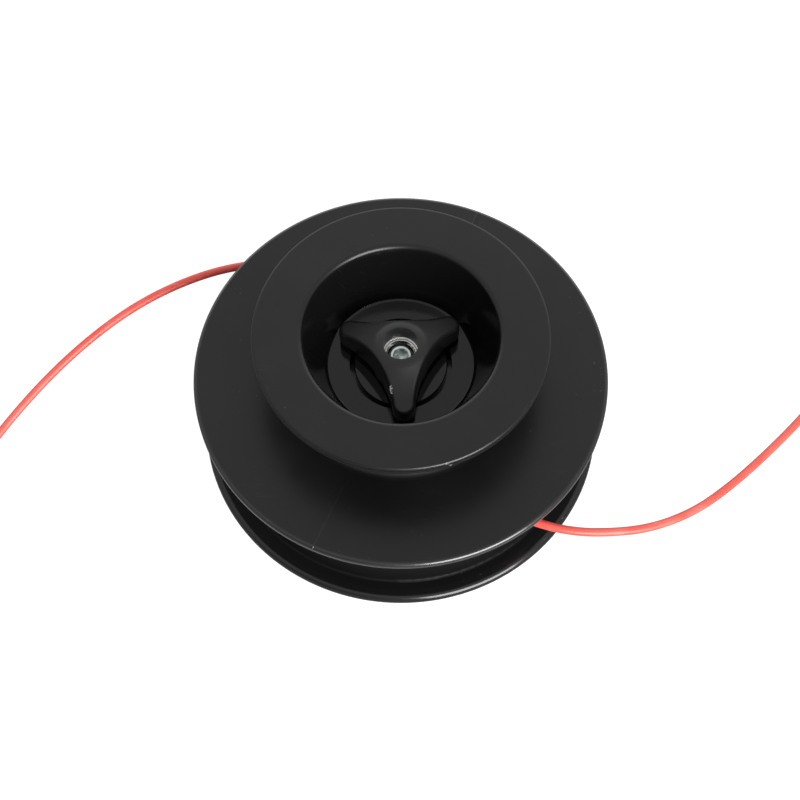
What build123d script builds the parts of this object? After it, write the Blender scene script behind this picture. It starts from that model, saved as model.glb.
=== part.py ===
from build123d import *
import math
import os

# A two-line trimmer head for a brush cutter. It stands drive side down: the housing's flange rests on the floor,
# the spool closes the housing from above, and a three-arm knob in the spool's cup clamps the spool by an M8 bolt.
# Millimetres. The origin is on the axis at the floor, and +Z points to the knob.

# Housing: resting flange, line groove wall and floor
flange_radius = 65.0
housing_flange_thickness = 4.0
housing_flange_round = 1.9
line_groove_depth = 6.7
housing_wall_thickness = 2.6
housing_wall_height = 28.5
housing_wall_foot_round = 0.8
housing_rim_round = 0.6
housing_floor_thickness = 3.0
housing_floor_round = 1.5
housing_foot_width = 9.0
housing_foot_round = 0.8
housing_rib_count = 8
housing_rib_thickness = 2.2
housing_rib_recess = 0.8

# Drive side hub, with its threaded insert, and the boss that the spool turns on
drive_hub_radius = 17.0
drive_hub_recess = 0.5
drive_hub_round = 0.5
drive_insert_flats = 17.0
drive_insert_length = 14.0
drive_insert_chamfer = 0.8
drive_thread_diameter = 10.0
drive_thread_pitch = 1.25
thread_depth_share = 1.0825
journal_radius = 12.0
journal_clearance = 0.06
journal_round = 0.5
seat_ring_width = 4.0
seat_ring_height = 1.0

# M8 bolt that stands up through the boss into the knob
bolt_diameter = 8.0
bolt_clearance = 0.1
bolt_head_flats = 13.0
bolt_head_height = 5.3
bolt_end_chamfer = 0.8
bolt_end_below_insert = 1.5

# Spool: lower flange, hollow drum, large flange, waist, grip flange and cup
spool_seat_clearance = 0.2
spool_low_flange_clearance = 2.7
spool_low_flange_thickness = 2.2
spool_low_flange_round = 0.8
spool_lid_gap = 0.8
spool_flange_thickness = 3.0
spool_flange_round = 1.2
drum_radius = 34.0
drum_wall = 3.0
drum_corner_round = 0.8
waist_height = 20.7
waist_foot_round = 4.0
waist_top_round = 6.0
grip_radius = 44.7
grip_thickness = 3.5
grip_edge_round = 0.9
cup_lip_radius = 30.0
cup_lip_round = 1.6
cup_floor_radius = 23.0
cup_floor_round = 2.5
cup_depth = 20.0
cup_wall = 3.0
cup_floor_thickness = 3.0
spool_hub_wall = 5.0
spool_rib_count = 6
spool_rib_thickness = 2.2
spool_rib_height = 24.0
line_hook_diameter = 4.5
line_hook_azimuths = (0.0, 180.0)

# Washer in the cup's floor, with an open ring gap round it
washer_radius = 14.5
washer_gap = 1.4
washer_thickness = 2.7
washer_floor_step = 0.2
washer_bolt_clearance = 0.3
washer_chamfer = 0.3

# Knob with three arms and a plated insert at the bottom of its hole
knob_arm_count = 3
knob_arm_azimuth = -87.0
knob_tip_reach = 21.0
knob_tip_radius = 3.4
knob_flank_radius = 8.9
knob_foot_radius = 8.6
knob_floor_clearance = 2.0
knob_hub_height = 13.2
knob_hub_flat_radius = 7.0
knob_shoulder_round = 6.0
knob_tip_height = 7.6
knob_slope_hollow = 0.7
knob_edge_round = 1.5
knob_hole_radius = 5.4
knob_hole_depth = 6.0
knob_core_wall = 2.2
knob_core_depth = 4.0
insert_shoulder = 0.8
insert_countersink = 0.75
insert_thread_clearance = 0.05

# Eyelets that sit in notches in the housing's rim
eyelet_azimuths = {"right": -52.0, "left": 128.0}
eyelet_height = 25.5
eyelet_throat_radius = 3.5
eyelet_flare = 2.9
eyelet_lip = 0.5
eyelet_neck_wall = 1.8
eyelet_clearance = 0.1
notch_clearance = 0.05

# Nylon line: the winding on the drum, and the two free ends
line_diameter = 2.7
winding_layers = 3
winding_drum_gap = 0.1
winding_end_gap = 0.3

# Routes of the free ends, from the winding through the eyelet and down to the floor, chosen by eye
line_routes = {
    "right": [
        (-2.6, -43.9, 25.5), (16.4, -44.1, 25.5), (34.9, -44.6, 25.5), (46.2, -48.6, 25.0), (55.4, -49.8, 24.2),
        (64.8, -49.3, 22.9), (74.5, -47.6, 21.0), (84.4, -44.0, 18.8), (94.9, -38.1, 16.2), (105.9, -29.3, 13.2),
        (117.5, -18.6, 10.0), (129.6, -6.5, 7.0), (140.3, 5.4, 4.0), (150.1, 17.4, 1.8),
    ],
    "left": [
        (2.6, 43.9, 25.5), (-16.4, 44.1, 25.5), (-34.4, 44.4, 25.5), (-45.5, 46.0, 25.3), (-55.3, 44.5, 25.0),
        (-64.0, 42.6, 24.2), (-74.1, 39.3, 22.6), (-84.2, 35.0, 20.4), (-94.2, 29.4, 17.8), (-104.2, 22.2, 14.9),
        (-114.0, 13.7, 11.8), (-123.6, 3.6, 8.7), (-132.9, -8.2, 5.8), (-141.3, -21.2, 3.6), (-148.3, -34.4, 1.8),
    ],
}
route_arc_share = 0.45

# Heights and radii that follow from the sizes above
housing_wall_radius = flange_radius - line_groove_depth
housing_wall_inner = housing_wall_radius - housing_wall_thickness
housing_floor_top = housing_flange_thickness + housing_floor_thickness
housing_top = housing_flange_thickness + housing_wall_height
seat_top = housing_floor_top + seat_ring_height
spool_bottom = seat_top + spool_seat_clearance
spool_low_flange_top = spool_bottom + spool_low_flange_thickness
spool_low_flange_radius = housing_wall_inner - spool_low_flange_clearance
spool_flange_bottom = housing_top + spool_lid_gap
spool_flange_top = spool_flange_bottom + spool_flange_thickness
grip_bottom = spool_flange_top + waist_height
grip_top = grip_bottom + grip_thickness
cup_floor = grip_top - cup_depth
washer_top = cup_floor - washer_floor_step
washer_bottom = washer_top - washer_thickness
journal_top = washer_bottom - spool_seat_clearance
drum_inner = drum_radius - drum_wall
spool_bore = journal_radius + journal_clearance
spool_hub_radius = spool_bore + spool_hub_wall
bolt_radius = bolt_diameter / 2
bolt_head_bottom = drive_hub_recess + drive_insert_length
bolt_head_top = bolt_head_bottom + bolt_head_height
drive_bore_radius = (drive_thread_diameter - thread_depth_share * drive_thread_pitch) / 2
knob_hub_top = washer_top + knob_hub_height
knob_tip_top = washer_top + knob_tip_height
knob_arm_bottom = cup_floor + knob_floor_clearance
insert_top = knob_hub_top - knob_hole_depth
insert_radius = knob_hole_radius + insert_shoulder
bolt_end = insert_top - bolt_end_below_insert
eyelet_flange_radius = eyelet_throat_radius + eyelet_flare + eyelet_lip
eyelet_neck_radius = eyelet_throat_radius + eyelet_neck_wall
line_radius = line_diameter / 2
overlap = 0.5
beyond = 2.0


def turned(corners):
    """A solid of revolution about Z from (radius, height, corner rounding) in order round its section."""
    points = [(radius, 0, height) for radius, height, _ in corners]
    rounds = [rounding for _, _, rounding in corners]
    outline = FilletPolyline(*points, radius=rounds, close=True)
    return revolve(make_face(outline), Axis.Z)


def hexagon_bar(flats, bottom, top):
    """A hexagonal bar on the axis, given its width across flats."""
    section = RegularPolygon(radius=flats / 2, side_count=6, major_radius=False)
    return Pos(0, 0, bottom) * extrude(section, top - bottom)


def round_bar(radius, bottom, top):
    """A round bar on the axis."""
    return Pos(0, 0, bottom) * extrude(Circle(radius), top - bottom)


def radial_ribs(count, thickness, inner, outer, bottom, top, first_angle):
    """Flat ribs that stand on radii between two walls."""
    rib = Pos((inner + outer) / 2, 0, (bottom + top) / 2) * Box(outer - inner, thickness, top - bottom)
    return [Rot(0, 0, first_angle + index * 360 / count) * rib for index in range(count)]


def radial_plane(azimuth, height):
    """A plane on the axis that faces out along an azimuth, with its Y axis up."""
    angle = math.radians(azimuth)
    outward = (math.cos(angle), math.sin(angle), 0)
    sideways = (-math.sin(angle), math.cos(angle), 0)
    return Plane(origin=(0, 0, height), x_dir=sideways, z_dir=outward)


def eyelet_notch(azimuth):
    """The U-shaped notch in the housing's rim that an eyelet drops into."""
    radius = eyelet_neck_radius + notch_clearance
    rise = housing_top - eyelet_height + beyond
    shape = Circle(radius) + Pos(0, rise / 2) * Rectangle(2 * radius, rise)
    start = housing_wall_inner - beyond
    depth = housing_wall_thickness + 2 * beyond
    return radial_plane(azimuth, eyelet_height) * (Pos(0, 0, start) * extrude(shape, depth))


def make_housing():
    """The drive-side moulding: resting flange, wall with two notches, floor, ribs, hub and boss."""
    foot_inner = flange_radius - housing_foot_width
    body = turned([
        (0, drive_hub_recess, 0),
        (drive_hub_radius, drive_hub_recess, drive_hub_round),
        (drive_hub_radius, housing_flange_thickness, 0),
        (foot_inner, housing_flange_thickness, 0),
        (foot_inner, 0, housing_foot_round),
        (flange_radius, 0, housing_flange_round),
        (flange_radius, housing_flange_thickness, housing_flange_round),
        (housing_wall_radius, housing_flange_thickness, housing_wall_foot_round),
        (housing_wall_radius, housing_top, housing_rim_round),
        (housing_wall_inner, housing_top, housing_rim_round),
        (housing_wall_inner, housing_floor_top, housing_floor_round),
        (journal_radius + seat_ring_width, housing_floor_top, 0),
        (journal_radius + seat_ring_width, seat_top, 0),
        (journal_radius, seat_top, 0),
        (journal_radius, journal_top, journal_round),
        (0, journal_top, 0),
    ])
    body += radial_ribs(
        housing_rib_count, housing_rib_thickness, drive_hub_radius - overlap, foot_inner + overlap,
        housing_rib_recess, housing_flange_thickness + overlap, 0,
    )
    body -= hexagon_bar(drive_insert_flats, drive_hub_recess - beyond, bolt_head_bottom)
    body -= hexagon_bar(bolt_head_flats, bolt_head_bottom - overlap, bolt_head_top)
    body -= round_bar(bolt_radius + bolt_clearance, bolt_head_top - overlap, journal_top + beyond)
    for azimuth in eyelet_azimuths.values():
        body -= eyelet_notch(azimuth)
    return body


def make_drive_insert():
    """The hexagonal steel insert with the left-hand thread for the gearbox shaft."""
    body = hexagon_bar(drive_insert_flats, drive_hub_recess, bolt_head_bottom)
    body -= round_bar(drive_bore_radius, drive_hub_recess - beyond, bolt_head_bottom + beyond)
    mouth = body.edges().filter_by(GeomType.CIRCLE).sort_by(Axis.Z)[0]
    return chamfer(mouth, drive_insert_chamfer)


def make_centre_bolt():
    """The M8 bolt: its head is trapped above the drive insert and its end shows in the knob."""
    head = hexagon_bar(bolt_head_flats, bolt_head_bottom, bolt_head_top)
    shank = round_bar(bolt_radius, bolt_head_top - overlap, bolt_end)
    shank = chamfer(shank.edges().sort_by(Axis.Z)[-1], bolt_end_chamfer)
    return head + shank


def make_spool_cavity():
    """The hollow under the cup, between the spool's hub and the drum, that runs up inside the waist."""
    cup_taper = (cup_lip_radius - cup_floor_radius) / cup_depth
    floor_underside = cup_floor - cup_floor_thickness
    shoulder = cup_floor_radius + cup_wall - cup_taper * cup_floor_thickness
    peak = floor_underside + (drum_inner - shoulder) / cup_taper
    return turned([
        (spool_hub_radius, spool_bottom - beyond, 0),
        (drum_inner, spool_bottom - beyond, 0),
        (drum_inner, peak, 0),
        (shoulder, floor_underside, 0),
        (spool_hub_radius, floor_underside, 0),
    ])


def make_spool():
    """The spool moulding: low flange, drum, large flange, waist, grip flange, cup and ribbed underside."""
    recess = washer_radius + washer_gap
    body = turned([
        (spool_bore, spool_bottom, 0),
        (spool_low_flange_radius, spool_bottom, spool_low_flange_round),
        (spool_low_flange_radius, spool_low_flange_top, spool_low_flange_round),
        (drum_radius, spool_low_flange_top, drum_corner_round),
        (drum_radius, spool_flange_bottom, drum_corner_round),
        (flange_radius, spool_flange_bottom, spool_flange_round),
        (flange_radius, spool_flange_top, spool_flange_round),
        (drum_radius, spool_flange_top, waist_foot_round),
        (drum_radius, grip_bottom, waist_top_round),
        (grip_radius, grip_bottom, grip_edge_round),
        (grip_radius, grip_top, grip_edge_round),
        (cup_lip_radius, grip_top, cup_lip_round),
        (cup_floor_radius, cup_floor, cup_floor_round),
        (recess, cup_floor, 0),
        (recess, washer_bottom, 0),
        (spool_bore, washer_bottom, 0),
    ])
    body -= make_spool_cavity()
    rib_top = cup_floor - cup_floor_thickness + overlap
    body += radial_ribs(
        spool_rib_count, spool_rib_thickness, spool_hub_radius - overlap, drum_inner + overlap,
        rib_top - spool_rib_height, rib_top, 180 / spool_rib_count,
    )
    hook_height = (spool_low_flange_top + spool_flange_bottom) / 2
    for azimuth in line_hook_azimuths:
        hole = Pos(0, 0, drum_inner - beyond) * extrude(Circle(line_hook_diameter / 2), drum_wall + 2 * beyond)
        body -= radial_plane(azimuth, hook_height) * hole
    return body


def make_line_winding():
    """The wound line as one solid, with one ridge for each turn that shows on its outside."""
    bottom = spool_low_flange_top + winding_end_gap
    top = spool_flange_bottom - winding_end_gap
    inner = drum_radius + winding_drum_gap
    corner = inner + drum_corner_round
    turns = math.floor((top - bottom) / line_diameter)
    pitch = (top - bottom) / turns
    ridge = pitch / 2
    valley = inner + winding_layers * line_diameter - ridge
    edges = []
    for turn in range(turns):
        start = bottom + turn * pitch
        edges.append(ThreePointArc(
            (valley, 0, start), (valley + ridge, 0, start + ridge), (valley, 0, start + pitch),
        ))
    edges.append(Polyline(
        (valley, 0, top), (corner, 0, top), (inner, 0, top - drum_corner_round),
        (inner, 0, bottom + drum_corner_round), (corner, 0, bottom), (valley, 0, bottom),
    ))
    return revolve(make_face(edges), Axis.Z)


def make_thrust_washer():
    """The plain disc between the knob and the spool's hub."""
    body = round_bar(washer_radius, washer_bottom, washer_top)
    body -= round_bar(bolt_radius + washer_bolt_clearance, washer_bottom - beyond, washer_top + beyond)
    rim = body.edges().filter_by(GeomType.CIRCLE).sort_by(SortBy.RADIUS)[-2:]
    return chamfer(rim, washer_chamfer)


def knob_outline():
    """The knob's plan: rounded tips joined by hollow flanks, each flank one arc that meets two tips smoothly."""
    step = 2 * math.pi / knob_arm_count
    tip_centre = knob_tip_reach - knob_tip_radius
    hollow = knob_flank_radius - knob_tip_radius
    across = 2 * (tip_centre * math.cos(step / 2) - hollow)
    flank_centre = (tip_centre ** 2 - hollow ** 2) / across
    flank_round = flank_centre - knob_flank_radius

    def polar(radius, angle):
        return Vector(radius * math.cos(angle), radius * math.sin(angle))

    edges = []
    for arm in range(knob_arm_count):
        angle = math.radians(knob_arm_azimuth) + arm * step
        centre = polar(tip_centre, angle)
        share = knob_tip_radius / (knob_tip_radius + flank_round)
        before = centre + (polar(flank_centre, angle - step / 2) - centre) * share
        after = centre + (polar(flank_centre, angle + step / 2) - centre) * share
        next_centre = polar(tip_centre, angle + step)
        next_before = next_centre + (polar(flank_centre, angle + step / 2) - next_centre) * share
        edges.append(ThreePointArc(before, polar(knob_tip_reach, angle), after))
        edges.append(ThreePointArc(after, polar(knob_flank_radius, angle + step / 2), next_before))
    return make_face(edges)


def knob_crown():
    """The turned form that gives the knob its hub and, past a soft shoulder, its arms' hollow slope to the tips."""
    reach = knob_tip_reach + beyond
    fall = (knob_hub_top - knob_tip_top) / (knob_tip_reach - knob_hub_flat_radius)
    end = (reach, 0, knob_tip_top - fall * beyond)
    middle_radius = (knob_hub_flat_radius + reach) / 2
    middle = (middle_radius, 0, (knob_hub_top + end[2]) / 2 - knob_slope_hollow)
    shoulder = (knob_hub_flat_radius, 0, knob_hub_top)
    slope = ThreePointArc(end, middle, shoulder)
    rest = Polyline(shoulder, (0, 0, knob_hub_top), (0, 0, washer_top), (reach, 0, washer_top), end)
    crown = revolve(make_face([slope, rest]), Axis.Z)
    rim = crown.edges().filter_by(GeomType.CIRCLE).sort_by(Axis.Z)[-1]
    return fillet(rim, knob_shoulder_round)


def make_knob():
    """The three-arm knob, with its hole, the seat of its insert and cored arms."""
    plan = knob_outline()
    body = Pos(0, 0, knob_arm_bottom) * extrude(plan, knob_hub_top - knob_arm_bottom + beyond)
    body = body & knob_crown()
    crest = body.edges().filter_by(GeomType.BSPLINE)
    body = fillet(crest, knob_edge_round)
    body += round_bar(knob_foot_radius, washer_top, knob_arm_bottom + overlap)
    core = offset(plan, -knob_core_wall) - Circle(knob_foot_radius)
    body -= Pos(0, 0, knob_arm_bottom - beyond) * extrude(core, knob_core_depth + beyond)
    body -= round_bar(insert_radius, washer_top - beyond, insert_top)
    body -= round_bar(knob_hole_radius, insert_top - overlap, knob_hub_top + beyond)
    return body


def make_knob_insert():
    """The plated threaded bush in the knob, countersunk at its top."""
    body = round_bar(insert_radius, washer_top, insert_top)
    body -= round_bar(bolt_radius + insert_thread_clearance, washer_top - beyond, insert_top + beyond)
    mouth = body.edges().filter_by(GeomType.CIRCLE).group_by(Axis.Z)[-1].sort_by(SortBy.RADIUS)[0]
    return chamfer(mouth, insert_countersink)


def make_eyelet(azimuth):
    """A turned eyelet: a waisted bore for the line, a neck in the notch and a flange each side of the wall."""
    wall_outside = housing_wall_radius + eyelet_clearance
    wall_inside = math.sqrt(housing_wall_inner ** 2 - eyelet_flange_radius ** 2) - eyelet_clearance
    middle = (wall_inside + wall_outside) / 2
    inner_end = middle - eyelet_flare
    outer_end = middle + eyelet_flare
    mouth = eyelet_throat_radius + eyelet_flare
    bore = ThreePointArc((mouth, 0, inner_end), (eyelet_throat_radius, 0, middle), (mouth, 0, outer_end))
    outside = Polyline(
        (mouth, 0, outer_end), (eyelet_flange_radius, 0, outer_end), (eyelet_flange_radius, 0, wall_outside),
        (eyelet_neck_radius, 0, wall_outside), (eyelet_neck_radius, 0, wall_inside),
        (eyelet_flange_radius, 0, wall_inside), (eyelet_flange_radius, 0, inner_end), (mouth, 0, inner_end),
    )
    return radial_plane(azimuth, eyelet_height) * revolve(make_face([bore, outside]), Axis.Z)


def route_radii(points):
    """The arc radius at each inner point of a route, as large as its two runs allow."""
    radii = []
    for before, here, after in zip(points, points[1:], points[2:]):
        arrive = Vector(here) - Vector(before)
        leave = Vector(after) - Vector(here)
        turn = math.radians(arrive.get_angle(leave))
        radii.append(route_arc_share * min(arrive.length, leave.length) / math.tan(turn / 2))
    return radii


def make_line_end(points):
    """A free end of the line: one round tube along straight runs joined by tangent arcs."""
    radii = route_radii(points)
    path = FilletPolyline(*points, radius=radii)
    section = Plane(origin=path @ 0, z_dir=path % 0) * Circle(line_radius)
    body = sweep(section, path)
    share = body.volume / (math.pi * line_radius ** 2 * path.length)
    print("line end: radii", [round(radius, 1) for radius in radii])
    print("line end: length", round(path.length, 1), "volume over section times length", round(share, 4))
    return body


def make_parts():
    """Every sub-part by its node name."""
    parts = {
        "housing": make_housing(),
        "drive_insert": make_drive_insert(),
        "centre_bolt": make_centre_bolt(),
        "spool": make_spool(),
        "line_winding": make_line_winding(),
        "thrust_washer": make_thrust_washer(),
        "knob": make_knob(),
        "knob_insert": make_knob_insert(),
    }
    for side, azimuth in eyelet_azimuths.items():
        parts[f"eyelet_{side}"] = make_eyelet(azimuth)
        parts[f"line_end_{side}"] = make_line_end(line_routes[side])
    return parts


os.makedirs("parts", exist_ok=True)
for name, shape in make_parts().items():
    export_step(shape, f"parts/{name}.step")
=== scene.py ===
"""Looks of a two-line trimmer head: turned mouldings, a plated stud, springy nylon line and a white studio.

Sizes are in millimetres in the part's own frame.
The origin is on the axis at the floor, and +Z points to the knob.
"""

import logging
import math
from dataclasses import dataclass
from dataclasses import field
from enum import Enum

import bmesh
import bpy
from mathutils import Matrix
from mathutils import Vector


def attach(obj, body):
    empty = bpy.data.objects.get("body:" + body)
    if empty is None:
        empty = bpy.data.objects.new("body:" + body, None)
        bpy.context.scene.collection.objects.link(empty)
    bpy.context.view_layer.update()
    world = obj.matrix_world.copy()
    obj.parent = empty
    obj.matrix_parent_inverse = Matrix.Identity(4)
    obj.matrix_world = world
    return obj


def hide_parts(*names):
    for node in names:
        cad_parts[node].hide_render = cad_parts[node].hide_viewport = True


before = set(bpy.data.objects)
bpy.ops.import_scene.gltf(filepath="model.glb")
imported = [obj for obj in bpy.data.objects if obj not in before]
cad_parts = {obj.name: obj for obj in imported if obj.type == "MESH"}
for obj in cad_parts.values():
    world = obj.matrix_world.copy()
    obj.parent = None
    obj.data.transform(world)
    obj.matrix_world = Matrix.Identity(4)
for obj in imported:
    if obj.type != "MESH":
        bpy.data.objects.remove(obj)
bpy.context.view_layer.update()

MM = 0.001
LOG = logging.getLogger("trimmer_head")


class Body(Enum):
    """The bodies that move by themselves."""

    HOUSING = "housing"
    SPOOL = "spool"
    WASHER = "washer"
    KNOB = "knob"


class Slot(Enum):
    """The material slots of the part's record."""

    HOUSING = "housing_plastic"
    SPOOL = "spool_plastic"
    KNOB = "knob_plastic"
    STEEL = "plated_steel"
    EYELET = "eyelet_metal"
    LINE = "nylon_line"


class Side(Enum):
    """The two ends of the line."""

    RIGHT = "right"
    LEFT = "left"


# Shader building


class Shading:
    """A node tree under construction, with short ways to add and join nodes."""

    def __init__(self, tree: bpy.types.NodeTree) -> None:
        """Keeps the tree that the nodes go into.

        Args:
            tree: the node tree of a material, a world or a group.
        """
        self.tree = tree

    def node(self, kind: str, inputs: dict | None = None, **settings: object) -> bpy.types.Node:
        """Adds one node.

        Args:
            kind: the node's type, without its leading ShaderNode.
            inputs: for each input, by name or number, a value or the output that feeds it.
            settings: the node's own settings.

        Returns:
            The new node.
        """
        made = self.tree.nodes.new("ShaderNode" + kind)
        for key, value in settings.items():
            setattr(made, key, value)
        for key, value in (inputs or {}).items():
            self.feed(made.inputs[key], value)
        return made

    def feed(self, socket: bpy.types.NodeSocket, value: object) -> None:
        """Joins an output to a socket, or sets the socket's own value.

        Args:
            socket: the input to fill.
            value: an output socket, or a plain number or colour.
        """
        if isinstance(value, bpy.types.NodeSocket):
            self.tree.links.new(value, socket)
        else:
            socket.default_value = value

    def math(self, operation: str, first: object, second: object = 0.0) -> bpy.types.NodeSocket:
        """Adds a Math node.

        Args:
            operation: what it does, such as MULTIPLY.
            first: its first number or feeding output.
            second: its second one.

        Returns:
            The node's output.
        """
        return self.node("Math", {0: first, 1: second}, operation=operation).outputs[0]

    def ramp(
        self, value: object, low: float, high: float, start: float = 0.0, end: float = 1.0,
    ) -> bpy.types.NodeSocket:
        """Adds a smooth step from one value to another.

        Args:
            value: the number or output that is followed.
            low: where the step begins.
            high: where the step ends.
            start: the result before the step.
            end: the result after it.

        Returns:
            The step's output.
        """
        inputs = {"Value": value, "From Min": low, "From Max": high, "To Min": start, "To Max": end}
        return self.node("MapRange", inputs, interpolation_type="SMOOTHSTEP").outputs["Result"]

    def tint(self, share: object, first: object, second: object) -> bpy.types.NodeSocket:
        """Adds a mix of two colours.

        Args:
            share: how much of the second colour shows.
            first: the first colour or its output.
            second: the second colour or its output.

        Returns:
            The mixed colour.
        """
        made = self.node("Mix", data_type="RGBA")
        self.feed(made.inputs[0], share)
        self.feed(made.inputs[6], first)
        self.feed(made.inputs[7], second)
        return made.outputs[2]

    def place(self) -> bpy.types.NodeSocket:
        """Gives the place on the piece, in metres in the part's frame at rest."""
        return self.node("TexCoord").outputs["Object"]

    def noise(self, scale: object, detail: float, roughness: float = 0.5) -> bpy.types.NodeSocket:
        """Adds a noise over the piece.

        Args:
            scale: its waves in a metre.
            detail: how many finer layers it has.
            roughness: how strong the finer layers are.

        Returns:
            The noise's value.
        """
        inputs = {"Vector": self.place(), "Scale": scale, "Detail": detail, "Roughness": roughness}
        return self.node("TexNoise", inputs).outputs["Fac"]


@dataclass(frozen=True)
class Effect:
    """A shared surface effect: a node group with number inputs and value outputs.

    Attributes:
        name: the group's name.
        inputs: its inputs with their usual values.
        outputs: its outputs.
    """

    name: str
    inputs: dict[str, float]
    outputs: tuple[str, ...]

    def open(self) -> tuple[Shading, bpy.types.Node, bpy.types.Node]:
        """Makes the empty group.

        Returns:
            Its shading, its input node and its output node.
        """
        tree = bpy.data.node_groups.new(self.name, "ShaderNodeTree")
        for label, usual in self.inputs.items():
            socket = tree.interface.new_socket(name=label, in_out="INPUT", socket_type="NodeSocketFloat")
            socket.default_value = usual
        for label in self.outputs:
            tree.interface.new_socket(name=label, in_out="OUTPUT", socket_type="NodeSocketFloat")
        return Shading(tree), tree.nodes.new("NodeGroupInput"), tree.nodes.new("NodeGroupOutput")

    def use(self, shading: Shading, **values: object) -> bpy.types.Node:
        """Places the group in a material.

        Args:
            shading: the material's shading.
            values: the material's own values, with underscores for spaces.

        Returns:
            The group node.
        """
        made = shading.node("Group", node_tree=bpy.data.node_groups[self.name])
        for key, value in values.items():
            shading.feed(made.inputs[key.replace("_", " ").title()], value)
        return made


GRAIN = Effect("moulded_grain", {"Scale": 1600.0, "Patch Scale": 55.0}, ("Height", "Patches"))
DUST = Effect("settled_dust", {"Amount": 0.3, "Scale": 420.0}, ("Mask",))
SCUFFS = Effect("fine_scuffs", {"Amount": 0.3, "Scale": 160.0}, ("Mask",))
WEAR = Effect("edge_wear", {"Amount": 0.5, "Scale": 700.0}, ("Mask",))


def build_effects() -> None:
    """Builds each shared effect once, before the finishes place them."""
    shading, given, result = GRAIN.open()
    shading.feed(result.inputs["Height"], shading.noise(given.outputs["Scale"], 3.0, 0.6))
    shading.feed(result.inputs["Patches"], shading.noise(given.outputs["Patch Scale"], 2.0, 0.55))

    shading, given, result = DUST.open()
    cells = shading.node("TexVoronoi", {"Vector": shading.place(), "Scale": given.outputs["Scale"]})
    specks = shading.ramp(cells.outputs["Distance"], 0.06, 0.16, 1.0, 0.0)
    chosen = shading.ramp(shading.noise(95.0, 2.0), 0.56, 0.68)
    facing = shading.node("SeparateXYZ", {0: shading.node("NewGeometry").outputs["Normal"]}).outputs["Z"]
    lying = shading.math("MULTIPLY", chosen, shading.ramp(facing, 0.3, 0.9))
    speckled = shading.math("MULTIPLY", specks, lying)
    shading.feed(result.inputs["Mask"], shading.math("MULTIPLY", speckled, given.outputs["Amount"]))

    shading, given, result = SCUFFS.open()
    turned = {"Vector": shading.place(), "Rotation": (0.3, 0.2, 0.9), "Scale": (1, 14, 1)}
    stretched = shading.node("Mapping", turned)
    inputs = {"Vector": stretched.outputs[0], "Scale": given.outputs["Scale"], "Detail": 3.0}
    lines = shading.ramp(shading.node("TexNoise", inputs).outputs["Fac"], 0.63, 0.72)
    patches = shading.ramp(shading.noise(38.0, 1.0), 0.5, 0.66)
    marked = shading.math("MULTIPLY", lines, patches)
    shading.feed(result.inputs["Mask"], shading.math("MULTIPLY", marked, given.outputs["Amount"]))

    shading, given, result = WEAR.open()
    edge = shading.ramp(shading.node("NewGeometry").outputs["Pointiness"], 0.52, 0.60)
    broken = shading.ramp(shading.noise(given.outputs["Scale"], 3.0), 0.42, 0.66)
    worn = shading.math("MULTIPLY", edge, broken)
    shading.feed(result.inputs["Mask"], shading.math("MULTIPLY", worn, given.outputs["Amount"]))


# Finishes


@dataclass(frozen=True)
class Finish:
    """A finish that a material is made from.

    Attributes:
        name: the material's name.
        colour: its own colour, linear.
        roughness: its mean roughness.
    """

    name: str
    colour: tuple[float, float, float]
    roughness: float

    def open(self) -> tuple[bpy.types.Material, Shading, bpy.types.Node]:
        """Makes the material with a plain surface shader.

        Returns:
            The material, its shading and its surface shader.
        """
        made = bpy.data.materials.new(self.name)
        made.use_nodes = True
        surface = made.node_tree.nodes["Principled BSDF"]
        surface.inputs["Base Color"].default_value = (*self.colour, 1.0)
        surface.inputs["Roughness"].default_value = self.roughness
        return made, Shading(made.node_tree), surface


@dataclass(frozen=True)
class Scuff:
    """A place where the plastic is whitened by a knock.

    Attributes:
        place: its middle.
        reach: its half lengths along X, Y and Z.
    """

    place: tuple[float, float, float]
    reach: tuple[float, float, float]


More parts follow.
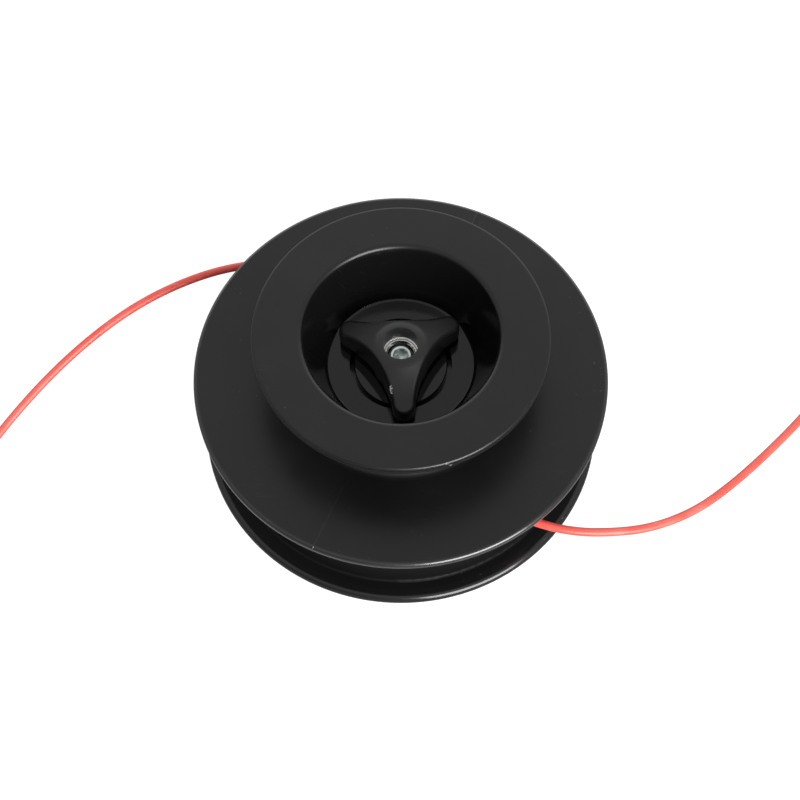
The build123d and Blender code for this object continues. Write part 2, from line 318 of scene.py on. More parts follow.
@dataclass(frozen=True)
class MouldedPlastic(Finish):
    """Black moulded plastic with grain, uneven gloss, dust and worn edges.

    Attributes:
        grain: the grain's height.
        gloss_spread: how far the roughness wanders.
        inner_radius: the radius inside which the mould has another polish, or none.
        inner_roughness: the roughness there.
        mirror: how strongly it mirrors, where 0.5 is plain plastic.
        coat_from: the radius beyond which handling has polished it, or none.
        coat_roughness: the roughness of that polish.
        dust: how strong the settled dust is.
        wear: how strong the worn edges are.
        scuffs: the knocks that it shows.
        dust_colour, wear_colour, scuff_colour: the colours of those three.
    """

    grain: float = 0.00001
    gloss_spread: float = 0.12
    inner_radius: float = 0.0
    inner_roughness: float = 0.1
    mirror: float = 0.5
    coat_from: float = 0.0
    coat_roughness: float = 0.16
    dust: float = 0.12
    wear: float = 0.08
    scuffs: tuple[Scuff, ...] = ()
    dust_colour: tuple[float, float, float, float] = (0.22, 0.22, 0.21, 1.0)
    wear_colour: tuple[float, float, float, float] = (0.11, 0.11, 0.11, 1.0)
    scuff_colour: tuple[float, float, float, float] = (0.62, 0.62, 0.6, 1.0)

    def beyond(self, shading: Shading, radius: float, inside: float, outside: float) -> bpy.types.NodeSocket:
        """Gives a value that changes at a radius.

        Args:
            shading: the material's shading.
            radius: where it has changed.
            inside: the value inside it.
            outside: the value outside it.

        Returns:
            The value.
        """
        flat = shading.node("VectorMath", {0: shading.place(), 1: (1.0, 1.0, 0.0)}, operation="MULTIPLY")
        reach = shading.node("VectorMath", {0: flat.outputs[0]}, operation="LENGTH").outputs["Value"]
        return shading.ramp(reach, (radius - 1.0) * MM, radius * MM, inside, outside)

    def knock(self, shading: Shading, scuff: Scuff) -> bpy.types.NodeSocket:
        """Gives the mask of one knock.

        Args:
            shading: the material's shading.
            scuff: the knock.

        Returns:
            Its mask.
        """
        middle = tuple(value * MM for value in scuff.place)
        share = tuple(1.0 / (value * MM) for value in scuff.reach)
        apart = shading.node("VectorMath", {0: shading.place(), 1: middle}, operation="SUBTRACT").outputs[0]
        scaled = shading.node("VectorMath", {0: apart, 1: share}, operation="MULTIPLY").outputs[0]
        far = shading.node("VectorMath", {0: scaled}, operation="LENGTH").outputs["Value"]
        ragged = shading.math("ADD", far, shading.ramp(shading.noise(1900.0, 3.0), 0.3, 0.7, -0.6, 0.6))
        return shading.ramp(ragged, 0.55, 0.95, 1.0, 0.0)

    def build(self) -> bpy.types.Material:
        """Makes the material.

        Returns:
            The material.
        """
        made, shading, surface = self.open()
        grain = GRAIN.use(shading)
        dust = DUST.use(shading, amount=self.dust).outputs["Mask"]
        scuffs = SCUFFS.use(shading, amount=self.wear).outputs["Mask"]
        wear = WEAR.use(shading, amount=self.wear).outputs["Mask"]
        colour = shading.tint(shading.math("MAXIMUM", wear, scuffs), (*self.colour, 1.0), self.wear_colour)
        colour = shading.tint(dust, colour, self.dust_colour)
        for scuff in self.scuffs:
            colour = shading.tint(self.knock(shading, scuff), colour, self.scuff_colour)
        shading.feed(surface.inputs["Base Color"], colour)
        mean = self.roughness
        if self.inner_radius:
            mean = self.beyond(shading, self.inner_radius, self.inner_roughness, self.roughness)
        surface.inputs["Specular IOR Level"].default_value = self.mirror
        if self.coat_from:
            surface.inputs["Coat Roughness"].default_value = self.coat_roughness
            shading.feed(surface.inputs["Coat Weight"], self.beyond(shading, self.coat_from, 0.0, 1.0))
        wander = shading.ramp(grain.outputs["Patches"], 0.3, 0.7, -self.gloss_spread, self.gloss_spread)
        dulled = shading.math("ADD", shading.math("ADD", mean, wander), shading.math("MULTIPLY", dust, 0.4))
        shading.feed(surface.inputs["Roughness"], shading.math("MAXIMUM", dulled, 0.05))
        inputs = {"Height": grain.outputs["Height"], "Distance": self.grain, "Strength": 1.0}
        shading.feed(surface.inputs["Normal"], shading.node("Bump", inputs).outputs[0])
        return made


@dataclass(frozen=True)
class PlatedSteel(Finish):
    """Zinc plated steel, cloudy with passivation and lightly brushed.

    Attributes:
        clouds: the second colour of the plating.
        brushing: the height of its fine marks.
    """

    clouds: tuple[float, float, float] = (0.2, 0.29, 0.26)
    brushing: float = 0.000008

    def build(self) -> bpy.types.Material:
        """Makes the material.

        Returns:
            The material.
        """
        made, shading, surface = self.open()
        surface.inputs["Metallic"].default_value = 1.0
        grain = GRAIN.use(shading, scale=2600.0, patch_scale=420.0)
        cloud = shading.ramp(grain.outputs["Patches"], 0.36, 0.62)
        wear = WEAR.use(shading, amount=0.8).outputs["Mask"]
        colour = shading.tint(cloud, (*self.colour, 1.0), (*self.clouds, 1.0))
        shading.feed(surface.inputs["Base Color"], shading.tint(wear, colour, (0.86, 0.87, 0.86, 1.0)))
        rough = shading.ramp(grain.outputs["Patches"], 0.3, 0.7, self.roughness - 0.08, self.roughness + 0.1)
        shading.feed(surface.inputs["Roughness"], rough)
        inputs = {"Height": grain.outputs["Height"], "Distance": self.brushing, "Strength": 1.0}
        shading.feed(surface.inputs["Normal"], shading.node("Bump", inputs).outputs[0])
        return made


@dataclass(frozen=True)
class ExtrudedNylon(Finish):
    """Coloured extruded line, glossy and a little see-through.

    Attributes:
        pale: the colour of its paler stretches.
        glow: how much light it takes inside.
    """

    pale: tuple[float, float, float] = (1.0, 0.2, 0.165)
    glow: float = 0.25

    def build(self) -> bpy.types.Material:
        """Makes the material.

        Returns:
            The material.
        """
        made, shading, surface = self.open()
        surface.inputs["Subsurface Weight"].default_value = self.glow
        surface.inputs["Subsurface Radius"].default_value = (1.0, 0.25, 0.2)
        surface.inputs["Subsurface Scale"].default_value = 0.0015
        grain = GRAIN.use(shading, scale=900.0, patch_scale=70.0)
        scuffs = SCUFFS.use(shading, amount=0.35, scale=90.0).outputs["Mask"]
        stretch = shading.ramp(grain.outputs["Patches"], 0.4, 0.75)
        colour = shading.tint(stretch, (*self.colour, 1.0), (*self.pale, 1.0))
        shading.feed(surface.inputs["Base Color"], shading.tint(scuffs, colour, (1.0, 0.42, 0.36, 1.0)))
        rough = shading.ramp(grain.outputs["Patches"], 0.3, 0.7, self.roughness - 0.06, self.roughness + 0.08)
        shading.feed(surface.inputs["Roughness"], rough)
        inputs = {"Height": grain.outputs["Height"], "Distance": 0.00001, "Strength": 1.0}
        shading.feed(surface.inputs["Normal"], shading.node("Bump", inputs).outputs[0])
        return made


BLACK = (0.005, 0.005, 0.0055)
KNOB_NICK = Scuff((-3.0, -13.9, 49.5), (0.5, 2.0, 0.9))
GRIP_NICKS = (Scuff((13.0, -42.5, 60.0), (0.7, 0.5, 0.5)), Scuff((14.3, -42.3, 58.8), (0.6, 0.5, 0.5)))
SPOOL_FINISH = MouldedPlastic(
    "spool_satin_black", BLACK, 0.33, gloss_spread=0.03, inner_radius=30.0, inner_roughness=0.1,
    coat_from=64.4, scuffs=GRIP_NICKS, scuff_colour=(0.14, 0.14, 0.14, 1.0),
)
HOUSING_FINISH = MouldedPlastic(
    "housing_satin_black", BLACK, 0.5, gloss_spread=0.03, mirror=0.12, coat_from=62.0,
)
KNOB_FINISH = MouldedPlastic(
    "knob_satin_black", BLACK, 0.4, grain=0.000003, gloss_spread=0.03, dust=0.05, mirror=0.6,
    scuffs=(KNOB_NICK,),
)
WASHER_FINISH = MouldedPlastic(
    "washer_gloss_black", BLACK, 0.06, grain=0.000001, gloss_spread=0.005, dust=0.0, wear=0.0,
)
STUD_FINISH = PlatedSteel(
    "stud_blue_zinc", (0.34, 0.43, 0.4), 0.26, clouds=(0.15, 0.22, 0.19), brushing=0.000002,
)
# The stud's rim: a near-white copy of the stud's plated steel, a painted highlight of the light on its rounded
# edge.
RIM_HIGHLIGHT_FINISH = PlatedSteel(
    "stud_rim_painted_highlight", (0.92, 0.93, 0.92), 0.14, clouds=(0.8, 0.82, 0.8), brushing=0.000001,
)
INSERT_FINISH = PlatedSteel(
    "insert_bright_zinc", (0.78, 0.77, 0.74), 0.15, clouds=(0.66, 0.66, 0.64), brushing=0.000001,
)
EYELET_FINISH = PlatedSteel("eyelet_turned_aluminium", (0.80, 0.81, 0.82), 0.28, clouds=(0.72, 0.73, 0.74))
LINE_FINISH = ExtrudedNylon("line_coral_nylon", (1.0, 0.115, 0.085), 0.32)


# Mesh building


@dataclass(frozen=True)
class Corner:
    """A corner of a turned section.

    Attributes:
        radius: its distance from the axis.
        height: its height above the floor.
        rounding: the radius that rounds it.
    """

    radius: float
    height: float
    rounding: float = 0.0


ARC_STEP = math.radians(10.0)
HOLD = 0.12
SHARP_ANGLE = math.radians(32.0)


def rounded_section(corners: list[Corner]) -> list[Vector]:
    """Rounds the corners of a closed section, with a ring close to each rounding so that flats stay flat.

    Args:
        corners: the section's corners in order.

    Returns:
        The section's points as (radius, height).
    """
    places = [Vector((corner.radius, corner.height)) for corner in corners]
    points: list[Vector] = []
    for index, corner in enumerate(corners):
        here = places[index]
        if not corner.rounding:
            points.append(here)
            continue
        back = (places[index - 1] - here).normalized()
        ahead = (places[(index + 1) % len(places)] - here).normalized()
        half = back.angle(ahead) / 2
        cut = corner.rounding / math.tan(half)
        centre = here + (back + ahead).normalized() * (corner.rounding / math.sin(half))
        first = here + back * cut - centre
        last = here + ahead * cut - centre
        turn = first.angle(last)
        steps = max(3, math.ceil(turn / ARC_STEP))
        points.append(here + back * (cut + HOLD))
        for step in range(steps + 1):
            share = step / steps
            ray = first * math.sin((1 - share) * turn) + last * math.sin(share * turn)
            points.append(centre + ray / math.sin(turn))
        points.append(here + ahead * (cut + HOLD))
    return points


def turned_mesh(name: str, section: list[Vector], azimuths: list[float]) -> bpy.types.Object:
    """Turns a closed section about the axis.

    Args:
        name: the new piece's name.
        section: the section's points as (radius, height), against the clock.
        azimuths: the angles of its columns, rising, in degrees.

    Returns:
        The new piece.
    """
    shape = bmesh.new()
    columns = []
    for azimuth in azimuths:
        angle = math.radians(azimuth)
        ray = Vector((math.cos(angle), math.sin(angle), 0))
        columns.append([shape.verts.new((ray * p.x + Vector((0, 0, p.y))) * MM) for p in section])
    for index, column in enumerate(columns):
        after = columns[(index + 1) % len(columns)]
        for row in range(len(section)):
            up = (row + 1) % len(section)
            shape.faces.new((column[row], after[row], after[up], column[up]))
    return finish_mesh(name, shape)


def finish_mesh(name: str, shape: bmesh.types.BMesh) -> bpy.types.Object:
    """Makes a piece from a built shape, smooth but for its sharp corners.

    Args:
        name: the new piece's name.
        shape: the built shape.

    Returns:
        The new piece.
    """
    bmesh.ops.remove_doubles(shape, verts=shape.verts, dist=1e-7)
    bmesh.ops.recalc_face_normals(shape, faces=shape.faces)
    mesh = bpy.data.meshes.new(name)
    shape.to_mesh(mesh)
    shape.free()
    piece = bpy.data.objects.new(name, mesh)
    bpy.context.scene.collection.objects.link(piece)
    smooth(piece)
    return piece


def smooth(piece: bpy.types.Object) -> None:
    """Shades a piece smooth, with sharp edges where its faces turn by more than a small angle.

    Args:
        piece: the piece.
    """
    piece.data.shade_smooth()
    piece.data.set_sharp_from_angle(angle=SHARP_ANGLE)


def box_mesh(
    name: str, low: tuple[float, float, float], high: tuple[float, float, float], azimuth: float,
) -> bpy.types.Object:
    """Makes a block that is turned about the axis.

    Args:
        name: the block's name.
        low: its lowest corner before the turn.
        high: its highest corner before the turn.
        azimuth: the turn in degrees.

    Returns:
        The block.
    """
    shape = bmesh.new()
    bmesh.ops.create_cube(shape, size=1.0)
    size = Vector(high) - Vector(low)
    middle = (Vector(high) + Vector(low)) / 2
    place = Matrix.Rotation(math.radians(azimuth), 4, "Z") @ Matrix.Translation(middle * MM)
    bmesh.ops.transform(shape, matrix=place @ Matrix.Diagonal((*(size * MM), 1.0)), verts=shape.verts)
    return finish_mesh(name, shape)


def join_solids(piece: bpy.types.Object, tools: list[bpy.types.Object], operation: str) -> None:
    """Joins solids to a piece or cuts them out of it, and removes them.

    Args:
        piece: the piece that is changed.
        tools: the solids.
        operation: UNION or DIFFERENCE.
    """
    for tool in tools:
        change = piece.modifiers.new("solid", "BOOLEAN")
        change.operation = operation
        change.solver = "EXACT"
        change.object = tool
    graph = bpy.context.evaluated_depsgraph_get()
    made = bpy.data.meshes.new_from_object(piece.evaluated_get(graph))
    piece.modifiers.clear()
    old = piece.data
    piece.data = made
    made.name = piece.name
    bpy.data.meshes.remove(old)
    for tool in tools:
        bpy.data.objects.remove(tool)
    smooth(piece)


def dress(piece: bpy.types.Object, material: bpy.types.Material) -> None:
    """Gives a piece one material.

    Args:
        piece: the piece.
        material: the material.
    """
    piece.data.materials.clear()
    piece.data.materials.append(material)


def seat(piece: bpy.types.Object, body: Body, slot: Slot, *nodes: str) -> None:
    """Puts a piece on its body in place of the solids that it stands for.

    Args:
        piece: the piece.
        body: the body that it moves with.
        slot: the material slot of the part's record; not used.
        nodes: the solids' names.
    """
    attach(piece, body.value)
    if nodes:
        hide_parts(*nodes)
    LOG.info("%s: %d faces, rides on %s", piece.name, len(getattr(piece.data, "polygons", ())), body.value)


# The head's sub-assemblies


@dataclass
class SpoolMoulding:
    """The spool: grip flange, waist, large flange and cup, moulded in two halves that meet on a diameter."""

    columns: int = 264
    parting_azimuth: float = 66.3
    flash_height: float = 0.12
    flash_width: float = 0.14
    flash_from: float = 46.0
    ring_flash_height: float = 0.05
    bore: float = 12.06
    hub: float = 17.06
    drum: float = 34.0
    drum_inner: float = 31.0
    bottom: float = 8.2
    low_flange: float = 53.0
    low_flange_top: float = 10.4
    flange: float = 65.0
    flange_bottom: float = 33.3
    flange_top: float = 36.3
    grip: float = 44.7
    grip_bottom: float = 57.0
    grip_top: float = 60.5
    lip: float = 30.0
    cup_floor: float = 40.5
    cup_floor_radius: float = 23.0
    cup_wall: float = 3.0
    recess: float = 15.9
    recess_floor: float = 37.6
    rib_count: int = 6
    rib_thickness: float = 2.2
    rib_bottom: float = 14.0
    first_rib: float = 30.0
    cup_corner: float = 1.0

    def section(self) -> list[Vector]:
        """Gives the spool's section, with its hollow underside and a fine flash ring on the grip's rim."""
        taper = (self.lip - self.cup_floor_radius) / (self.grip_top - self.cup_floor)
        underside = self.cup_floor - self.cup_wall
        shoulder = self.cup_floor_radius + self.cup_wall - taper * self.cup_wall
        peak = underside + (self.drum_inner - shoulder) / taper
        edge = 0.9
        seam = self.grip_bottom + edge
        corners = [
            Corner(self.bore, self.bottom), Corner(self.hub, self.bottom),
            Corner(self.hub, underside), Corner(shoulder, underside),
            Corner(self.drum_inner, peak), Corner(self.drum_inner, self.bottom),
            Corner(self.low_flange, self.bottom, 0.8), Corner(self.low_flange, self.low_flange_top, 0.8),
            Corner(self.drum, self.low_flange_top, 0.8), Corner(self.drum, self.flange_bottom, 0.8),
            Corner(self.flange, self.flange_bottom, 1.2), Corner(self.flange, self.flange_top, 1.2),
            Corner(self.drum, self.flange_top, 4.0), Corner(self.drum, self.grip_bottom, 6.0),
            Corner(self.grip, self.grip_bottom, edge),
            Corner(self.grip, seam + 2 * HOLD), Corner(self.grip + self.ring_flash_height, seam + 3 * HOLD),
            Corner(self.grip, seam + 4 * HOLD),
            Corner(self.grip, self.grip_top, edge),
            Corner(self.lip, self.grip_top, 1.6), Corner(self.cup_floor_radius, self.cup_floor, self.cup_corner),
            Corner(self.recess, self.cup_floor), Corner(self.recess, self.recess_floor),
            Corner(self.bore, self.recess_floor),
        ]
        return rounded_section(corners)

    def azimuths(self) -> list[float]:
        """Gives the columns' angles: even ones, and close ones beside the two parting lines."""
        step = 360.0 / self.columns
        even = [self.parting_azimuth + (index + 0.5) * step for index in range(self.columns)]
        width = math.degrees(self.flash_width / self.flange)
        close = [
            self.parting_azimuth + half + side * width
            for half in (0.0, 180.0)
            for side in (-1.0, 0.0, 1.0)
        ]
        return sorted(angle % 360.0 for angle in even + close)

    def raise_flash(self, piece: bpy.types.Object) -> None:
        """Raises the fine flash on the two parting lines, where they cross the large flange.

        Args:
            piece: the turned spool.
        """
        angle = math.radians(self.parting_azimuth)
        ray = Vector((math.cos(angle), math.sin(angle), 0))
        across = Vector((-ray.y, ray.x, 0))
        normals = [vertex.normal.copy() for vertex in piece.data.vertices]
        for vertex, normal in zip(piece.data.vertices, normals):
            on_line = abs(vertex.co.dot(across)) < 1e-6
            outside = self.flange_bottom * MM < vertex.co.z < (self.grip_bottom + 2.0) * MM
            far = vertex.co.to_2d().length > self.flash_from * MM
            if on_line and outside and far:
                vertex.co += normal * self.flash_height * MM

    def build(self) -> bpy.types.Object:
        """Builds the spool.

        Returns:
            The spool.
        """
        piece = turned_mesh("spool_moulding", self.section(), self.azimuths())
        self.raise_flash(piece)
        top = self.cup_floor - self.cup_wall + 0.5
        half = self.rib_thickness / 2
        low = (self.hub - 0.5, -half, self.rib_bottom)
        high = (self.drum_inner + 0.5, half, top)
        turns = [index * 360.0 / self.rib_count for index in range(self.rib_count)]
        ribs = [box_mesh("rib", low, high, self.first_rib + turn) for turn in turns]
        join_solids(piece, ribs, "UNION")
        dress(piece, SPOOL_FINISH.build())
        seat(piece, Body.SPOOL, Slot.SPOOL, "spool")
        return piece


@dataclass
class Stud:
    """The M8 bolt whose end shows in the knob: a turned end and a rolled thread."""

    radius: float = 4.0
    pitch: float = 1.25
    thread_depth: float = 0.6
    end: float = 46.0
    chamfer: float = 0.8
    thread_bottom: float = 24.0
    head_bottom: float = 14.5
    head_top: float = 19.8
    head_flats: float = 13.0
    columns: int = 64
    end_rise: float = 0.4
    rim_width: float = 0.8
    rim_fall: float = 0.16
    dish_depth: float = 0.35

    def thread_radius(self, share: float) -> float:
        """Gives the thread's radius at a share of its pitch: crest, flank, root and flank.

        Args:
            share: the place along one pitch, from 0 to 1.

        Returns:
            The radius.
        """
        crest = 0.125
        rise = min(max((abs(share - 0.5) - crest / 2) / (0.5 - crest), 0.0), 1.0)
        return self.radius - self.thread_depth * (1.0 - rise)

    def build(self) -> bpy.types.Object:
        """Builds the bolt.

        Returns:
            The bolt.
        """
        shape = bmesh.new()
        shares = (0.0, 0.06, 0.25, 0.44, 0.5, 0.56, 0.75, 0.94)
        turns = math.ceil((self.end - self.thread_bottom) / self.pitch) + 1
        rows = [turn * self.pitch + share * self.pitch for turn in range(-1, turns) for share in shares]
        grid = []
        for column in range(self.columns):
            turn = column / self.columns
            ray = Vector((math.cos(2 * math.pi * turn), math.sin(2 * math.pi * turn), 0))
            line = []
            for row, share in zip(rows, shares * (turns + 1)):
                height = self.thread_bottom + row + turn * self.pitch
                height = min(max(height, self.thread_bottom), self.end - self.end_rise)
                limit = self.radius - max(0.0, height - (self.end - self.chamfer))
                reach = ray * min(self.thread_radius(share), limit)
                line.append(shape.verts.new((reach + Vector((0, 0, height))) * MM))
            grid.append(line)
        self.skin(shape, grid)
        piece = finish_mesh("centre_stud", shape)
        dress(piece, STUD_FINISH.build())
        seat(piece, Body.HOUSING, Slot.STEEL, "centre_bolt")
        extras = ((self.head(), STUD_FINISH), (self.end_dish(), STUD_FINISH), (self.end_rim(), RIM_HIGHLIGHT_FINISH))
        for extra, finish in extras:
            dress(extra, bpy.data.materials.get(finish.name) or finish.build())
            seat(extra, Body.HOUSING, Slot.STEEL)
        return piece

    def end_rim(self) -> bpy.types.Object:
        """Builds the rolled rim of the stud's end, which takes a near-white copy of the plated steel as a
        painted highlight.
        """
        foot = self.end - self.end_rise
        outer = self.radius - self.chamfer
        inner = outer - self.rim_width
        corners = [
            Corner(inner, foot - 0.2), Corner(outer, foot - 0.2), Corner(outer, self.end, 0.2),
            Corner(inner, self.end - self.rim_fall, 0.05),
        ]
        azimuths = [index * 360.0 / self.columns for index in range(self.columns)]
        return turned_mesh("stud_rim", rounded_section(corners), azimuths)

    def end_dish(self) -> bpy.types.Object:
        """Builds the shallow dish inside the rim."""
        inner = self.radius - self.chamfer - self.rim_width
        top = self.end - self.dish_depth
        corners = [Corner(0.0, top - 0.4), Corner(inner, top - 0.4), Corner(inner, top), Corner(0.0, top)]
        azimuths = [index * 360.0 / self.columns for index in range(self.columns)]
        return turned_mesh("stud_dish", rounded_section(corners), azimuths)

    def skin(self, shape: bmesh.types.BMesh, grid: list) -> None:
        """Joins the thread's points, and closes its two ends.

        Args:
            shape: the shape that takes the faces.
            grid: the points, column by column.
        """
        rows = len(grid[0])
        per_turn = 8
        for index, column in enumerate(grid):
            last = index == len(grid) - 1
            after = grid[0] if last else grid[index + 1]
            shift = per_turn if last else 0
            for row in range(rows - 1):
                low = row + shift
                if low + 1 >= rows:
                    continue
                shape.faces.new((column[row], after[low], after[low + 1], column[row + 1]))
        bmesh.ops.remove_doubles(shape, verts=shape.verts, dist=1e-7)
        bmesh.ops.dissolve_degenerate(shape, edges=shape.edges, dist=1e-7)
        bmesh.ops.holes_fill(shape, edges=[edge for edge in shape.edges if edge.is_boundary], sides=0)

    def head(self) -> bpy.types.Object:
        """Builds the hexagon head that the boss hides."""
        corner = self.head_flats / math.sqrt(3.0)
        shape = bmesh.new()
        rings = []
        for radius, height in ((corner, self.head_bottom), (corner, self.head_top)):
            rings.append([
                shape.verts.new((radius * math.cos(a) * MM, radius * math.sin(a) * MM, height * MM))
                for a in (math.radians(60.0 * index) for index in range(6))
            ])
        shape.faces.new(rings[0])
        shape.faces.new(rings[1])
        for index in range(6):
            after = (index + 1) % 6
            shape.faces.new((rings[0][index], rings[0][after], rings[1][after], rings[1][index]))
        return finish_mesh("centre_bolt_head", shape)


@dataclass
class InsertRing:
    """The plated bush in the knob, with two bright bevelled rings, one a step lower than the other."""

    radius: float = 6.2
    bottom: float = 40.3
    top: float = 47.5
    bore: float = 4.05
    countersink: float = 0.75
    edge_height: float = 0.1
    ring_outer: float = 5.5
    ring_inner: float = 5.15
    ring_fall: float = 0.1
    step: float = 0.5
    low_ring_outer: float = 4.8
    low_ring_inner: float = 4.5
    columns: int = 96

    def build(self) -> bpy.types.Object:
        """Builds the bush.

        Returns:
            The bush.
        """
        low = self.top - self.step
        corners = [
            Corner(self.bore, self.bottom), Corner(self.radius, self.bottom),
            Corner(self.radius, self.top - self.edge_height),
            Corner(self.ring_outer, self.top - self.edge_height), Corner(self.ring_outer, self.top, 0.04),
            Corner(self.ring_inner, self.top - self.ring_fall, 0.04), Corner(self.ring_inner, low),
            Corner(self.low_ring_outer, low),
            Corner(self.low_ring_inner, low - self.ring_fall),
            Corner(self.bore, low - self.countersink),
        ]
        azimuths = [index * 360.0 / self.columns for index in range(self.columns)]
        piece = turned_mesh("knob_insert_ring", rounded_section(corners), azimuths)
        dress(piece, INSERT_FINISH.build())
        seat(piece, Body.KNOB, Slot.STEEL, "knob_insert")
        return piece


@dataclass
class LineEnd:
    """A free end of the nylon line: one springy length from the winding out of its eyelet to the floor.

    Attributes:
        side: which end it is.
        route: the points that steer it.
        length: its length from the winding to its cut end; not used.
    """

    side: Side
    route: list[tuple[float, float, float]]
    length: float
    diameter: float = 2.7

    def build(self, material: bpy.types.Material) -> bpy.types.Object:
        """Builds the line end.

        Args:
            material: the line's finish.

        Returns:
            The line end.
        """
        name = "line_" + self.side.value
        curve = bpy.data.curves.new(name, "CURVE")
        curve.dimensions = "3D"
        curve.bevel_depth = self.diameter / 2 * MM
        curve.bevel_resolution = 6
        curve.resolution_u = 10
        curve.use_fill_caps = True
        spline = curve.splines.new("NURBS")
        spline.points.add(len(self.route) - 1)
        for point, place in zip(spline.points, self.route):
            point.co = (*(value * MM for value in place), 1.0)
        spline.order_u = 3
        spline.use_endpoint_u = True
        spline.use_smooth = True
        piece = bpy.data.objects.new(name, curve)
        bpy.context.scene.collection.objects.link(piece)
        dress(piece, material)
        seat(piece, Body.HOUSING, Slot.LINE, "line_end_" + self.side.value)
        return piece


@dataclass
class SolidDress:
    """Solids that keep their own shape and get a finish."""

    finishes: dict[str, Finish] = field(default_factory=lambda: {
        "housing": HOUSING_FINISH,
        "knob": KNOB_FINISH,
        "thrust_washer": WASHER_FINISH,
        "eyelet_right": EYELET_FINISH,
        "eyelet_left": EYELET_FINISH,
        "drive_insert": INSERT_FINISH,
        "line_winding": LINE_FINISH,
    })

    def build(self) -> None:
        """Gives each solid its finish."""
        for node, finish in self.finishes.items():
            material = bpy.data.materials.get(finish.name) or finish.build()
            dress(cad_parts[node], material)
            LOG.info("%s: solid in %s", node, material.name)


# The studio


@dataclass(frozen=True)
class Lamp:
    """A soft lamp with an evenly bright face.

    Attributes:
        name: the lamp's name.
        place: the middle of its face, in metres.
        aim: the point that it faces, in metres.
        size: its width and height, in metres.
        glow: how bright its face is, where 1 is white.
    """

    name: str
    place: tuple[float, float, float]
    aim: tuple[float, float, float]
    size: tuple[float, float]
    glow: float

    def hang(self) -> None:
        """Hangs the lamp."""
        light = bpy.data.lights.new(self.name, "AREA")
        light.shape = "RECTANGLE"
        light.size, light.size_y = self.size
        light.energy = self.glow * math.pi * self.size[0] * self.size[1]
        piece = bpy.data.objects.new(self.name, light)
        bpy.context.scene.collection.objects.link(piece)
        piece.location = self.place
        piece.rotation_euler = (Vector(self.aim) - Vector(self.place)).to_track_quat("-Z", "Y").to_euler()


HEAD_MIDDLE = (0.0, 0.0, 0.03)
FRONT_RIGHT_PANEL = Lamp("front_right_panel", (0.54, -0.94, 0.46), HEAD_MIDDLE, (0.8, 0.75), 11.0)


@dataclass
class Studio:
    """A white floor, a pale surround that is dim low in front, and one large lamp at the front right."""

    floor_size: float = 6.0
    floor_colour: tuple[float, float, float, float] = (0.4, 0.4, 0.4, 1.0)
    floor_lift: float = 0.88
    surround_glow: float = 0.57
    rear_glow: float = 0.9
    front_glow: float = 0.18
    lamps: tuple[Lamp, ...] = (FRONT_RIGHT_PANEL,)

    def surround(self) -> None:
        """Makes the surround: pale overhead, brighter behind, dim in front, and white for the camera."""
        world = bpy.data.worlds.new("surround")
        bpy.context.scene.world = world
        world.use_nodes = True
        shading = Shading(world.node_tree)
        back = world.node_tree.nodes["Background"]
        back.inputs["Color"].default_value = (1.0, 1.0, 1.0, 1.0)
        towards = shading.node("SeparateXYZ", {0: shading.node("TexCoord").outputs["Generated"]})
        away = shading.math("ADD", towards.outputs["Y"], shading.math("MULTIPLY", towards.outputs["Z"], 1.2))
        even = shading.ramp(away, -0.3, 0.6, self.front_glow, self.surround_glow)
        rear = shading.ramp(towards.outputs["Y"], 0.55, 0.8, 0.0, self.rear_glow)
        seen = shading.node("LightPath").outputs["Is Camera Ray"]
        shading.feed(back.inputs["Strength"], shading.math("MAXIMUM", shading.math("ADD", even, rear), seen))

    def floor(self) -> None:
        """Makes the floor: grey for the light that it throws back, and lifted to white for the camera."""
        half = self.floor_size / 2
        mesh = bpy.data.meshes.new("studio_floor")
        corners = [(-half, -half, 0), (half, -half, 0), (half, half, 0), (-half, half, 0)]
        mesh.from_pydata(corners, [], [(0, 1, 2, 3)])
        piece = bpy.data.objects.new("studio_floor", mesh)
        bpy.context.scene.collection.objects.link(piece)
        material = bpy.data.materials.new("floor_white")
        material.use_nodes = True
        shading = Shading(material.node_tree)
        surface = material.node_tree.nodes["Principled BSDF"]
        surface.inputs["Base Color"].default_value = self.floor_colour
        surface.inputs["Roughness"].default_value = 0.9
        surface.inputs["Specular IOR Level"].default_value = 0.0
        surface.inputs["Emission Color"].default_value = (1.0, 1.0, 1.0, 1.0)
        path = shading.node("LightPath")
        seen = shading.math("MAXIMUM", path.outputs["Is Camera Ray"], path.outputs["Is Transmission Ray"])
        shading.feed(surface.inputs["Emission Strength"], shading.math("MULTIPLY", seen, self.floor_lift))
        dress(piece, material)

    def build(self) -> None:
        """Builds the studio."""
        bpy.context.scene.view_settings.view_transform = "Standard"
        self.surround()
        self.floor()
        for lamp in self.lamps:
            lamp.hang()


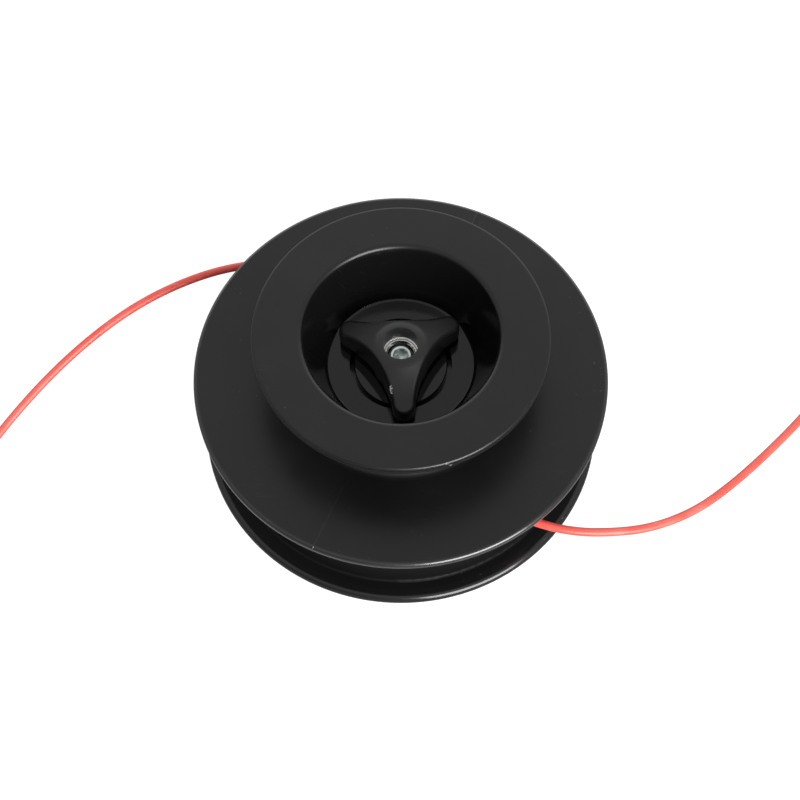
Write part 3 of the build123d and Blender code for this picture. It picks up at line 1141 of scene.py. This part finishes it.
@dataclass
class PhotoCamera:
    """The camera at the photograph's place, looking down at the head."""

    pitch: float = 63.844
    distance: float = 430.0
    target: tuple[float, float, float] = (-0.25, -10.36, 35.6)
    lens: float = 62.3
    sensor: float = 36.0

    def build(self) -> None:
        """Builds the camera and makes it the scene's own."""
        data = bpy.data.cameras.new("photo_camera")
        data.lens = self.lens
        data.sensor_width = self.sensor
        data.sensor_fit = "HORIZONTAL"
        data.clip_start = 0.01
        piece = bpy.data.objects.new("photo_camera", data)
        bpy.context.scene.collection.objects.link(piece)
        tilt = math.radians(self.pitch)
        away = Vector((0, -math.cos(tilt), math.sin(tilt))) * self.distance
        piece.location = (Vector(self.target) + away) * MM
        piece.rotation_euler = (math.pi / 2 - tilt, 0, 0)
        bpy.context.scene.camera = piece


RIGHT_ROUTE = [
    (-2.6, -43.9, 25.5), (16.4, -44.1, 25.5), (34.9, -44.6, 25.5), (46.2, -48.6, 25.0), (55.4, -49.8, 24.2),
    (64.8, -49.3, 22.9), (74.5, -47.6, 21.0), (84.4, -44.0, 18.8), (94.9, -38.1, 16.2), (105.9, -29.3, 13.2),
    (117.5, -18.6, 10.0), (129.6, -6.5, 7.0), (140.3, 5.4, 4.0), (150.1, 17.4, 1.8),
]
LEFT_ROUTE = [
    (2.6, 43.9, 25.5), (-16.4, 44.1, 25.5), (-34.4, 44.4, 25.5), (-45.5, 46.0, 25.3), (-55.3, 44.5, 25.0),
    (-64.0, 42.6, 24.2), (-74.1, 39.3, 22.6), (-84.2, 35.0, 20.4), (-94.2, 29.4, 17.8), (-104.2, 22.2, 14.9),
    (-114.0, 13.7, 11.8), (-123.6, 3.6, 8.7), (-132.9, -8.2, 5.8), (-141.3, -21.2, 3.6), (-148.3, -34.4, 1.8),
]


def main() -> None:
    """Builds the scene: camera, line ends, finishes, mouldings and studio."""
    logging.basicConfig(level=logging.INFO, format="%(name)s: %(message)s")
    build_effects()
    PhotoCamera().build()
    line = LINE_FINISH.build()
    LineEnd(Side.RIGHT, RIGHT_ROUTE, 181.0).build(line)
    LineEnd(Side.LEFT, LEFT_ROUTE, 186.9).build(line)
    SpoolMoulding().build()
    Stud().build()
    InsertRing().build()
    SolidDress().build()
    Studio().build()


if __name__ == "__main__":
    main()
